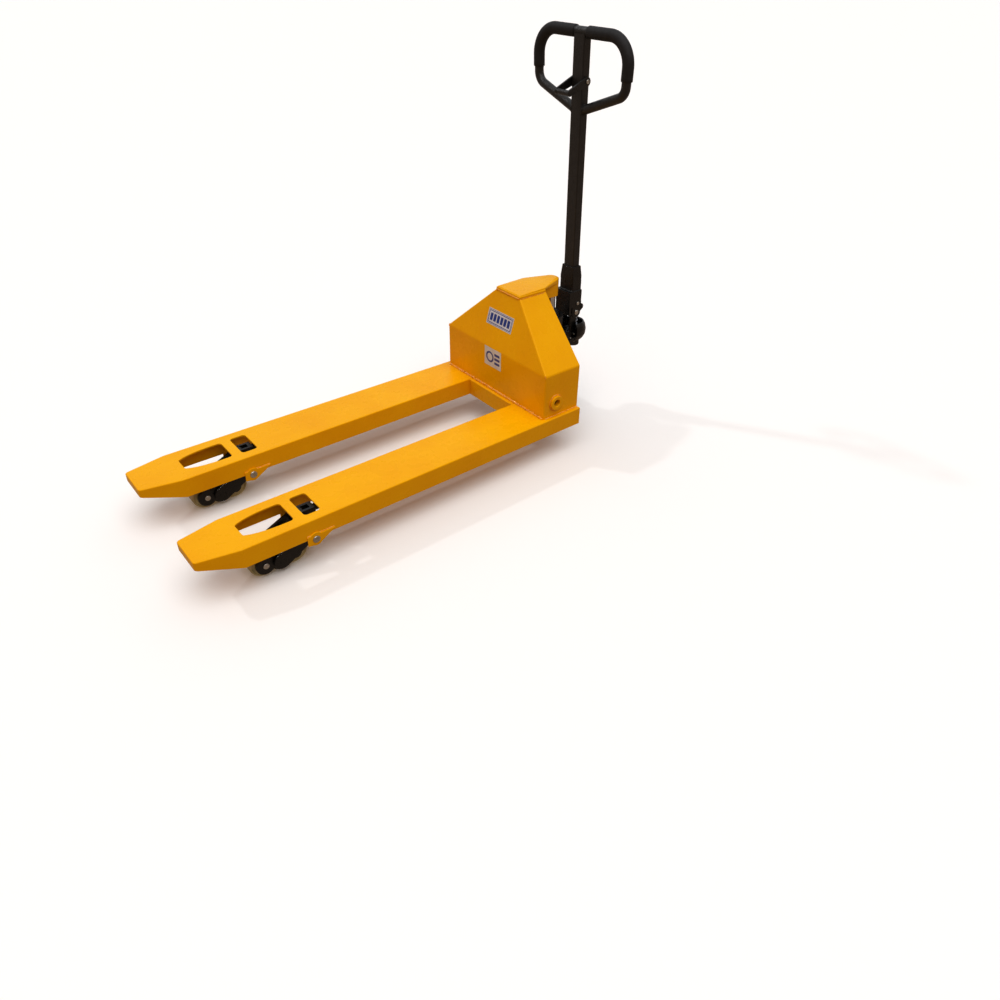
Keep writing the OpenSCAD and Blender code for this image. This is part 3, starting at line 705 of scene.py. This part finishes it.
def weld(name, path, radius, closed=False, lowest=None):
    """Painted weld bead: overlapping ripples of uneven height along a seam, cut off under lowest."""
    points, reach = [], []
    ends = path + [path[0]] if closed else path
    for a, b in zip(ends, ends[1:]):
        count = max(2, int((b - a).length / RIPPLE * RIPPLE_POINTS))
        for i in range(count):
            points.append(a.lerp(b, i / count))
    travelled = 0.0
    swell = 1.0
    drift = Vector((0, 0, 0))
    for i, point in enumerate(points):
        if i:
            travelled += (point - points[i - 1]).length
        phase = travelled / RIPPLE % 1
        if i % RIPPLE_POINTS == 0:
            swell = dice.uniform(0.86, 1.12)
            drift = Vector([dice.uniform(-0.1, 0.1) * radius for _ in range(3)])
        reach.append(radius * swell * (0.62 + 0.38 * math.sin(math.pi * phase) ** 0.6))
        points[i] = point + drift
    bm = bmesh.new()
    sweep(bm, points, lambda i: reach[i], 12, closed)
    if lowest is not None:
        for vert in bm.verts:
            vert.co.z = max(vert.co.z, lowest)
    return piece(loose(bm, name), "yellow_enamel", "frame", angle=75, material="weld_enamel")


def frame_welds():
    """Beads round the housing's foot, the bushes, the cap and the bracket plates."""
    low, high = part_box("front_plate")
    z = low.z + 0.001
    inset = 0.003
    front = plate_y - 0.001
    seam = [Vector((low.x + inset, front, z)), Vector((high.x - inset, front, z))]
    weld("weld_plate_base", seam, 0.0066, lowest=z - 0.003)
    bush = centre("rocker_shaft")
    for side, sign in SIDES:
        x = sign * high.x
        seam = [Vector((x, plate_y + 0.004, z)), Vector((x, plate_y + 0.149, z))]
        weld("weld_cheek_base_" + side, seam, 0.0032)
        shoulder = Vector((x - sign * 0.0015, plate_y + 0.0015, low.z + SHOULDER))
        seam = [shoulder - Z * 0.005, shoulder + Vector((-sign * 0.003, 0.001, 0.004))]
        weld("weld_shoulder_" + side, seam, 0.0028)
        circle = [Vector((x, bush.y, bush.z)) + Matrix.Rotation(math.tau * i / 40, 3, X) @ (Y * 0.026)
                  for i in range(40)]
        weld("weld_bush_" + side, circle, 0.0024, closed=True)
    seam_z = high.z - 0.001
    front = plate_y + PLATE_SLOPE * (high.z - low.z - SHOULDER)
    weld("weld_cap_front", [Vector((-0.058, front, seam_z)), Vector((0.058, front, seam_z))], 0.0034)
    for side, sign in SIDES:
        x = sign * 0.0605
        seam = [Vector((x, front + y, seam_z)) for y in (0.003, 0.105)]
        weld("weld_cap_" + side, seam, 0.0018)
    shaft = centre("arm_shafts")
    for side, sign in SIDES:
        middle = centre(side + "_fork").x
        for face in (-1, 1):
            x = middle + face * fork_half
            seam = [Vector((x, shaft.y + y, shaft.z + 0.0145)) for y in (-0.024, 0.057)]
            weld(f"weld_bracket_{side}_{'outer' if face == sign else 'inner'}", seam, 0.0022)


def bushes():
    """Turned bushes of the rocker shaft, with a chamfered mouth."""
    at = centre("rocker_shaft")
    bore, collar, chamfer = size("rocker_shaft").z / 2, 0.025, 0.0015
    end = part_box("shaft_bushes")[1].x
    start, step = end - 0.028, end - 0.010
    bm = bmesh.new()
    revolve_pair(bm, [
        (start, bore), (start, BUSH_HOLE), (step, BUSH_HOLE), (step, collar), (end - chamfer, collar),
        (end, collar - chamfer), (end, bore + chamfer), (end - chamfer, bore)], Vector((0, at.y, at.z)))
    piece(loose(bm, "rocker_bushes"), "yellow_enamel", "frame", ["shaft_bushes"], edge=0.0003)


def labels():
    """Two vinyl labels: printed borders and plain printed bars, with no lettering."""
    slope = math.atan(PLATE_SLOPE)
    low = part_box("front_plate")[0]
    shoulder = low.z + SHOULDER
    up = Vector((0, math.sin(slope), math.cos(slope)))
    upper_rise = 0.095
    upper_at = Vector((-0.0065, plate_y + PLATE_SLOPE * upper_rise, shoulder + upper_rise))
    lower_at = Vector((-0.008, plate_y, low.z + 0.1195))

    def card(bm, at, rise, width, height, radius, lift, thick):
        """Rounded rectangle lying on the plate, lift above it."""
        out = X.cross(rise).normalized()
        out = out if out.y < 0 else -out
        outline = rounded(rectangle(width / 2, -height / 2, height / 2), radius, 5)
        prism(bm, outline, lambda u, v: at + X * u + rise * v + out * lift, out * thick)

    thick, ink_thick = 0.0004, 0.00006
    vinyl = bmesh.new()
    card(vinyl, upper_at, up, 0.129, 0.054, 0.002, 0.0, thick)
    card(vinyl, lower_at, Z, 0.088, 0.069, 0.002, 0.0, thick)
    faces = loose(vinyl, "label_vinyl")
    piece(faces, "label_face", "frame", ["labels"], angle=40)

    ink = bmesh.new()

    def print_card(at, rise, width, height, radius):
        """Printed rounded block."""
        card(ink, at, rise, width, height, radius, thick, ink_thick)

    def border(at, rise, width, height, line):
        """Printed frame."""
        for end in (-1, 1):
            print_card(at + rise * end * (height - line) / 2, rise, width, line, line * 0.3)
            print_card(at + X * end * (width - line) / 2, rise, line, height, line * 0.3)

    border(upper_at, up, 0.123, 0.048, 0.0012)
    border(upper_at, up, 0.116, 0.041, 0.0022)
    for i in range(6):
        print_card(upper_at + X * (-0.044 + 0.0176 * i), up, 0.0125, 0.025, 0.002)
    ring_r, hollow = 0.020, 0.68
    ring = [(ring_r * math.cos(math.tau * i / 48), ring_r * math.sin(math.tau * i / 48)) for i in range(49)]
    for (u, v), (p, q) in zip(ring, ring[1:]):
        corners = [(u, v), (p, q), (p * hollow, q * hollow), (u * hollow, v * hollow)]
        prism(ink, corners, lambda a, b: lower_at + X * (a - 0.0155) + Z * b - Y * thick, -Y * ink_thick)
    for i in (-1, 0, 1):
        print_card(lower_at + X * 0.0225 + Z * 0.0155 * i, Z, 0.027, 0.0085, 0.001)
    piece(loose(ink, "label_print"), "label_face", "frame", angle=40, material="label_ink")


def arm_shafts():
    """Headed shafts through each fork's bracket plates."""
    bm = bmesh.new()
    at = centre("arm_shafts")
    half = fork_half + 0.004
    for side, _ in SIDES:
        middle = centre(side + "_fork").x
        revolve(bm, pin_profile(half, 0.010, half + 0.003, 0.0108), Vector((middle, at.y, at.z)), steps=64)
    piece(loose(bm, "headed_arm_shafts"), "zinc_plate", "frame", ["arm_shafts"], edge=0.0002)


def ram():
    """Chromed rod that stands between the pump and the cap."""
    low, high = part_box("ram")
    radius, chamfer = size("ram").x / 2, 0.001
    bm = bmesh.new()
    profile = [
        (low.z, 0), (low.z, radius - chamfer), (low.z + chamfer, radius), (high.z - chamfer, radius),
        (high.z, radius - chamfer), (high.z, 0)]
    revolve(bm, profile, under("ram"), Z, 128)
    piece(loose(bm, "ram_rod"), "chrome_rod", "frame", ["ram"], angle=40)


for side in ("left", "right"):
    fork(side)
housing()
frame_welds()
bushes()
labels()
arm_shafts()
ram()
finer("cross_member", 0.0018, 3)
finer("pivot_brackets", 0.0009)
casting("head_cap", 0.0011, 4)


# ---- Load wheels and lift linkage ----

BEARING_R, BEARING_W = 0.020, 0.013
ROLLER_SHAFT = 0.008


def rollers():
    """Nylon rollers with recessed sides, and their shielded bearings."""
    for side in ("left", "right"):
        for end in ("front", "rear"):
            node = f"{side}_{end}_roller"
            at = centre(node)
            half, radius = size(node).x / 2, size(node).z / 2
            tread = [
                (-half, BEARING_R), (-half, 0.0285), (-half + 0.002, 0.0295), (-half + 0.002, 0.0335),
                (-half, 0.0345), (-half, radius - 0.0035), (-half + 0.0012, radius - 0.0012),
                (-half + 0.004, radius)]
            inner = half - BEARING_W
            seat = [(inner, BEARING_R), (inner, 0.011), (-inner, 0.011), (-inner, BEARING_R)]
            bm = bmesh.new()
            revolve(bm, both_ends(tread) + seat, at, steps=128, closed=True)
            piece(loose(bm, node + "_tread"), "nylon", body_of[node], [node], edge=0.0005)
            bearings = f"{side}_{end}_bearings"
            bore, face, shield = 0.00805, half - 0.0012, half - 0.0024
            bm = bmesh.new()
            revolve_pair(bm, [
                (inner, bore), (face, bore), (face, 0.0112), (shield, 0.0118), (shield, 0.0162),
                (face, 0.0168), (face, BEARING_R), (inner, BEARING_R)], at, steps=64)
            shielded = loose(bm, bearings + "_shielded")
            piece(shielded, "bearing_steel", body_of[bearings], [bearings], edge=0.0002)


def roller_axles():
    """Front axles with plated heads, rear axles flush and painted over with the bogies."""
    for side in ("left", "right"):
        node = side + "_roller_axles"
        low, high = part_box(node)
        half = (high.x - low.x) / 2
        front, rear = centre(f"{side}_front_roller"), centre(f"{side}_rear_roller")
        bm = bmesh.new()
        revolve(bm, pin_profile(half - 0.003, ROLLER_SHAFT, half, 0.0089), front, steps=64)
        piece(loose(bm, node + "_headed"), "zinc_plate", body_of[node], [node], edge=0.0002)
        bm = bmesh.new()
        revolve(bm, pin_profile(half - 0.0025, ROLLER_SHAFT), rear, steps=64)
        piece(loose(bm, node + "_painted"), "zinc_plate", body_of[node], edge=0.0002, material="cast_black")


rollers()
roller_axles()
for side in ("left", "right"):
    casting(side + "_bogie", 0.0009, 4)
    casting(side + "_wheel_arm", 0.0009, 4)
    finer(side + "_push_rod", 0.0009)
    finer(side + "_arm_pins", 0.0006)
finer("rocker_arm", 0.0009)
finer("rod_pins", 0.0006)
finer("rocker_shaft", 0.0008)


# ---- Pump, steering and handle ----

def wheels():
    """Ribbed hubs, solid tyres with rounded shoulders, and shielded bearings."""
    for side in ("left", "right"):
        hub, tyre, bearings = side + "_wheel_hub", side + "_tyre", side + "_wheel_bearings"
        at = centre(tyre)
        half, radius = size(tyre).x / 2, size(tyre).z / 2
        seat = radius - 0.014
        bm = bmesh.new()
        rim = [
            (-half + 0.001, seat), (-half + 0.001, seat - 0.011), (-half + 0.003, seat - 0.014),
            (-half + 0.009, seat - 0.016), (-half + 0.009, 0.035), (-half + 0.003, 0.033), (-half, 0.032),
            (-half, 0.026), (-half + 0.015, 0.026), (-half + 0.015, 0.016)]
        revolve(bm, both_ends(rim), at, steps=128, closed=True)
        for face in (-1, 1):
            for i in range(6):
                turn = Matrix.Rotation(math.tau * i / 6, 3, X)
                outline = [(0.031, -0.003), (seat - 0.012, -0.0024), (seat - 0.012, 0.0024), (0.031, 0.003)]
                foot = at + X * face * (half - 0.010)
                prism(bm, outline, lambda u, v: foot + turn @ Vector((0, u, v)), X * face * 0.007)
        piece(loose(bm, hub + "_ribbed"), "hub_grey", body_of[hub], [hub], edge=0.0006)
        bm = bmesh.new()
        tread = [
            (-half, seat), (-half, radius - 0.008), (-half + 0.0008, radius - 0.0045),
            (-half + 0.0025, radius - 0.0018), (-half + 0.006, radius - 0.0003), (-half + 0.012, radius)]
        revolve(bm, both_ends(tread), at, steps=160, closed=True)
        piece(loose(bm, tyre + "_moulded"), "tyre_rubber", body_of[tyre], [tyre], angle=50)
        bore, inner, face, shield = 0.01255, half - 0.015, half - 0.002, half - 0.0034
        bm = bmesh.new()
        revolve_pair(bm, [
            (inner, bore), (face, bore), (face, 0.0165), (shield, 0.0172), (shield, 0.0212),
            (face, 0.022), (face, 0.026), (inner, 0.026)], at, steps=72)
        piece(loose(bm, bearings + "_shielded"), "bearing_steel", body_of[bearings], [bearings], edge=0.0002)


pivot = centre("pivot_pin")
handle_way = centre("grip_sleeves") - pivot
handle_l = handle_way.length
up = handle_way.normalized()
deep = X.cross(up).normalized()


def on_handle(x, y, z):
    """Point in the handle's own axes: across, in depth (towards the operator) and along from the pivot."""
    return pivot + X * x - deep * y + up * z


def return_spring():
    """Coil of round wire with closed ends."""
    low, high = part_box("pump_spring")
    at = centre("plunger")
    wire = 0.0019
    coil = (high.x - low.x) / 2 - wire
    turns, closed_turns, steps = 5.0, 0.6, 44
    rise = high.z - low.z - 2 * wire
    pitch = wire * 2.05
    path = []
    for i in range(int(turns * steps) + 1):
        turn = i / steps
        share = min(1, max(0, (turn - closed_turns) / (turns - 2 * closed_turns)))
        flat = pitch * min(turn, closed_turns) + pitch * max(0, turn - turns + closed_turns)
        height = flat + (rise - pitch * 2 * closed_turns) * share
        a = math.tau * turn
        path.append(Vector((at.x + coil * math.cos(a), at.y + coil * math.sin(a), low.z + wire + height)))
    bm = bmesh.new()
    sweep(bm, path, wire, 16)
    obj = piece(loose(bm, "return_spring"), "spring_steel", body_of["pump_spring"], ["pump_spring"], angle=60)
    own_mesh(obj)


# Depth behind the plunger, height and radius of each plug.
PLUGS = ((-0.034, 0.262, 0.0045), (-0.018, 0.276, 0.0035), (-0.018, 0.250, 0.0035))
PLUG_SIDE = 0.0245
CYLINDER_TOP = 0.385


def pump_details():
    """Small plugs on the pump's sides, and the rubber wiper round the ram."""
    bm = bmesh.new()
    plunger = centre("plunger")
    for y, z, radius in PLUGS:
        for sign in (-1, 1):
            at = Vector((sign * PLUG_SIDE, plunger.y + y, z))
            socket = radius * 0.5
            head = [
                (0, radius), (0.0032, radius), (0.004, radius - 0.0008), (0.004, socket), (0.0022, socket),
                (0.0022, 0)]
            revolve(bm, [(sign * a, r) for a, r in head], at, steps=32)
    piece(loose(bm, "pump_plugs"), "zinc_plate", "pump_unit", edge=0.0002)
    bm = bmesh.new()
    profile = ring_profile(CYLINDER_TOP - 0.001, CYLINDER_TOP + 0.0016, 0.0192, 0.0265, 0.0006)
    revolve(bm, profile, under("ram"), Z, 96, closed=True)
    piece(loose(bm, "ram_wiper"), "grip_rubber", "pump_unit", edge=0.0003)


def pins():
    """Turned pins of the pump and handle with centre-drilled ends, the cam roller and the plunger."""
    def pin(node, shaft, half, head_half=0.0, head=0.0, material=None):
        """Pin of a shaft's radius and half length, with heads if head is given."""
        bm = bmesh.new()
        revolve(bm, pin_profile(half, shaft, head_half, head), centre(node), steps=64)
        obj = loose(bm, node + "_turned")
        piece(obj, slot_of[node], body_of[node], [node], edge=0.0002, material=material)

    pin("pivot_pin", 0.008, 0.036, 0.038, 0.009)
    pin("lever_pin", 0.004, 0.032, 0.034, 0.0065)
    pin("roller_pin", 0.005, 0.036, material="cast_black")
    pin("base_bolt", 0.004, 0.035, 0.0385, 0.006)
    pin("steer_axle", 0.0125, 0.080)
    bm = bmesh.new()
    profile = ring_profile(-0.011, 0.011, 0.00505, 0.012, 0.0008)
    revolve(bm, profile, centre("pump_roller"), steps=64, closed=True)
    piece(loose(bm, "cam_roller_turned"), "zinc_plate", "cam_roller", ["pump_roller"], edge=0.0002)
    low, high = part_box("plunger")
    shaft, head, cap = 0.011, 0.0156, high.z - 0.013
    bm = bmesh.new()
    profile = [
        (low.z, 0), (low.z, shaft - 0.001), (low.z + 0.001, shaft), (cap, shaft), (cap, head - 0.0008),
        (cap + 0.001, head), (high.z - 0.0015, head), (high.z, 0.0142), (high.z, 0)]
    revolve(bm, profile, under("plunger"), Z, 72)
    piece(loose(bm, "plunger_turned"), "chrome_rod", "pump_plunger", ["plunger"], edge=0.0002)


NECK_DROP = 0.218  # from the grip bar down to the loop's neck
NECK_RISE = 0.069  # from the neck to the loop's lower bends
LOOP_R = 0.014
LOOP_LEAN = 0.005  # how much wider the loop is at its top
TOP_BEND, NECK_BEND = 0.074, 0.038
TUBE_HALF = (0.023, 0.015)
TUBE_FOOT = 0.029
TUBE_WALL = 0.003


def loop_size():
    """Half the loop's width and the height of its neck, to the tube's middle."""
    loop_low, loop_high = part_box("handle_loop")
    return (loop_high.x - loop_low.x) / 2 - LOOP_R, handle_l - NECK_DROP


def handle_loop():
    """Bent tube of the loop, from one side of the square tube over the top to the other."""
    half, neck = loop_size()
    inner, lower = 0.015, half - LOOP_LEAN
    start = neck + inner * NECK_RISE / lower
    corners = [on_handle(*p) for p in (
        (inner, 0, start), (lower, 0, neck + NECK_RISE), (half, 0, handle_l),
        (-half, 0, handle_l), (-lower, 0, neck + NECK_RISE), (-inner, 0, start))]
    bm = bmesh.new()
    sweep(bm, bar_path(corners, (NECK_BEND, TOP_BEND, TOP_BEND, NECK_BEND)), LOOP_R, 40)
    piece(loose(bm, "loop_tube"), "black_paint", "handle", ["handle_loop"], angle=60)
    beads = bmesh.new()
    way = Vector((lower, NECK_RISE)).normalized()
    for sign in (-1, 1):
        ring = []
        for i in range(48):
            a = math.tau * i / 48
            z = neck + TUBE_HALF[0] * NECK_RISE / lower + LOOP_R * math.sin(a) / way.x
            ring.append(on_handle(sign * TUBE_HALF[0], LOOP_R * math.cos(a), z))
        sweep(beads, ring, lambda i: 0.0022 + 0.0006 * math.sin(i * 2.1), 10, closed=True)
    piece(loose(beads, "neck_welds"), "black_paint", "handle", angle=70)


def handle_tube():
    """Square tube with rounded corners, from inside the base up to the grip bar."""
    w, d = TUBE_HALF
    bm = bmesh.new()
    outer = rounded(rectangle(w, -d, d), 0.004, 6)
    prism(bm, outer, lambda u, v: on_handle(u, v, TUBE_FOOT), up * (handle_l - TUBE_FOOT - 0.004))
    obj = loose(bm, "square_tube")
    bore = bmesh.new()
    inner = rounded(rectangle(w - TUBE_WALL, -d + TUBE_WALL, d - TUBE_WALL), 0.002, 4)
    prism(bore, inner, lambda u, v: on_handle(u, v, 0.02), up * (handle_l - 0.04))
    cut(obj, loose(bore, "tool"))
    piece(obj, "black_paint", "handle", ["handle_tube"], edge=0.0004)


def grips():
    """Moulded rubber sleeves along the grip bar and round the loop's top corners."""
    half, neck = loop_size()
    start, end = 0.026, handle_l - 0.112
    drift = LOOP_LEAN * (handle_l - end) / (handle_l - neck - NECK_RISE)
    radius = 0.0173
    rim = [0.0146, 0.0164, radius]
    bm = bmesh.new()
    for sign in (-1, 1):
        corners = [
            on_handle(sign * start, 0, handle_l), on_handle(sign * half, 0, handle_l),
            on_handle(sign * (half - drift), 0, end)]
        path = bar_path(corners, (TOP_BEND,), 26)
        first, last = (path[1] - path[0]).normalized(), (path[-1] - path[-2]).normalized()
        path = (
            [path[0], path[0] + first * 0.0012, path[0] + first * 0.003] + path[1:-1]
            + [path[-1] - last * 0.012, path[-1] - last * 0.003, path[-1] - last * 0.0012, path[-1]])
        reach = rim + [radius] * (len(path) - 6) + rim[::-1]
        sweep(bm, path, lambda i: reach[i], 40)
    piece(loose(bm, "moulded_grips"), "grip_rubber", "handle", ["grip_sleeves"], angle=50)


def thrust_race():
    """Thrust bearing under the pump body, with a groove between its two races."""
    low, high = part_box("thrust_bearing")
    radius = (high.x - low.x) / 2
    bore, groove, chamfer = 0.0301, radius - 0.002, 0.0008
    bm = bmesh.new()
    profile = [
        (low.z, bore), (low.z, radius - chamfer), (low.z + chamfer, radius), (low.z + 0.0032, radius),
        (low.z + 0.0036, groove), (low.z + 0.0044, groove), (low.z + 0.0048, radius),
        (high.z - chamfer, radius), (high.z, radius - chamfer), (high.z, bore)]
    revolve(bm, profile, under("thrust_bearing"), Z, 96, closed=True)
    piece(loose(bm, "thrust_race"), "bearing_steel", "pump_unit", ["thrust_bearing"], edge=0.0001)


wheels()
return_spring()
pump_details()
pins()
handle_loop()
handle_tube()
grips()
thrust_race()
casting("pump_body", 0.0016, 4)
casting("spring_guard", 0.0009, 3)
casting("handle_base", 0.0010, 5)
finer("thrust_plate", 0.0009)
finer("link_pins", 0.0006)
finer("axle_clips", 0.0003)
finer("control_lever", 0.0014, 3)
finer("release_arm", 0.0007)
finer("pull_rod", 0.0004)


# ---- Stage and light ----

# Towards the brighter half of the surroundings, and the colours of the dim and the bright half.
BRIGHT_SIDE = (-0.6, 0.45, 0.66)
NEAR_SIDE = (0.37, 0.27, 0.20)
FAR_SIDE = (0.66, 0.67, 0.69)
BACKDROP = (0.98, 0.98, 0.98)
FLOOR_R = 80


def stage():
    """A plain near-white floor in white surroundings, which light the object from one side more."""
    bm = bmesh.new()
    revolve(bm, [(0, 0), (0, FLOOR_R)], Vector((0, 0, 0)), Z, 96)
    floor = loose(bm, "floor")
    s = Shader("pale_floor", 0.85, Specular_IOR_Level=0.1)
    s.colour(srgb("FAFAFA"))
    floor.data.materials.append(s.material)
    floor.visible_diffuse = False
    floor.visible_glossy = False
    world = bpy.data.worlds.new("surroundings")
    bpy.context.scene.world = world
    world.use_nodes = True
    nodes, links = world.node_tree.nodes, world.node_tree.links
    facing = nodes.new("ShaderNodeVectorMath")
    facing.operation = "DOT_PRODUCT"
    facing.inputs[1].default_value = Vector(BRIGHT_SIDE).normalized()
    links.new(nodes.new("ShaderNodeTexCoord").outputs["Generated"], facing.inputs[0])
    ramp = nodes.new("ShaderNodeValToRGB")
    for element, place, colour in zip(ramp.color_ramp.elements, (0.1, 0.9), (NEAR_SIDE, FAR_SIDE)):
        element.position = place
        element.color = (*colour, 1)
    links.new(facing.outputs["Value"], ramp.inputs["Fac"])
    seen = nodes.new("ShaderNodeMix")
    seen.data_type = "RGBA"
    links.new(nodes.new("ShaderNodeLightPath").outputs["Is Camera Ray"], seen.inputs["Factor"])
    links.new(ramp.outputs["Color"], seen.inputs[6])
    seen.inputs[7].default_value = (*BACKDROP, 1)
    links.new(seen.outputs[2], nodes["Background"].inputs["Color"])


def soft_sun(name, towards, strength, spread):
    """White light from the direction towards, spread over an angle."""
    light = bpy.data.lights.new(name, "SUN")
    light.energy = strength
    light.angle = spread
    obj = bpy.data.objects.new(name, light)
    obj.rotation_mode = "QUATERNION"
    obj.rotation_quaternion = (-Vector(towards)).to_track_quat("-Z", "Y")
    bpy.context.scene.collection.objects.link(obj)


stage()
soft_sun("overhead", (0.33, -0.12, 0.93), 1.75, 1.1)
soft_sun("lamp", (-0.60, -0.40, 0.69), 0.35, 0.05)
bpy.context.scene.view_settings.view_transform = "Standard"
bpy.context.scene.view_settings.gamma = 0.85
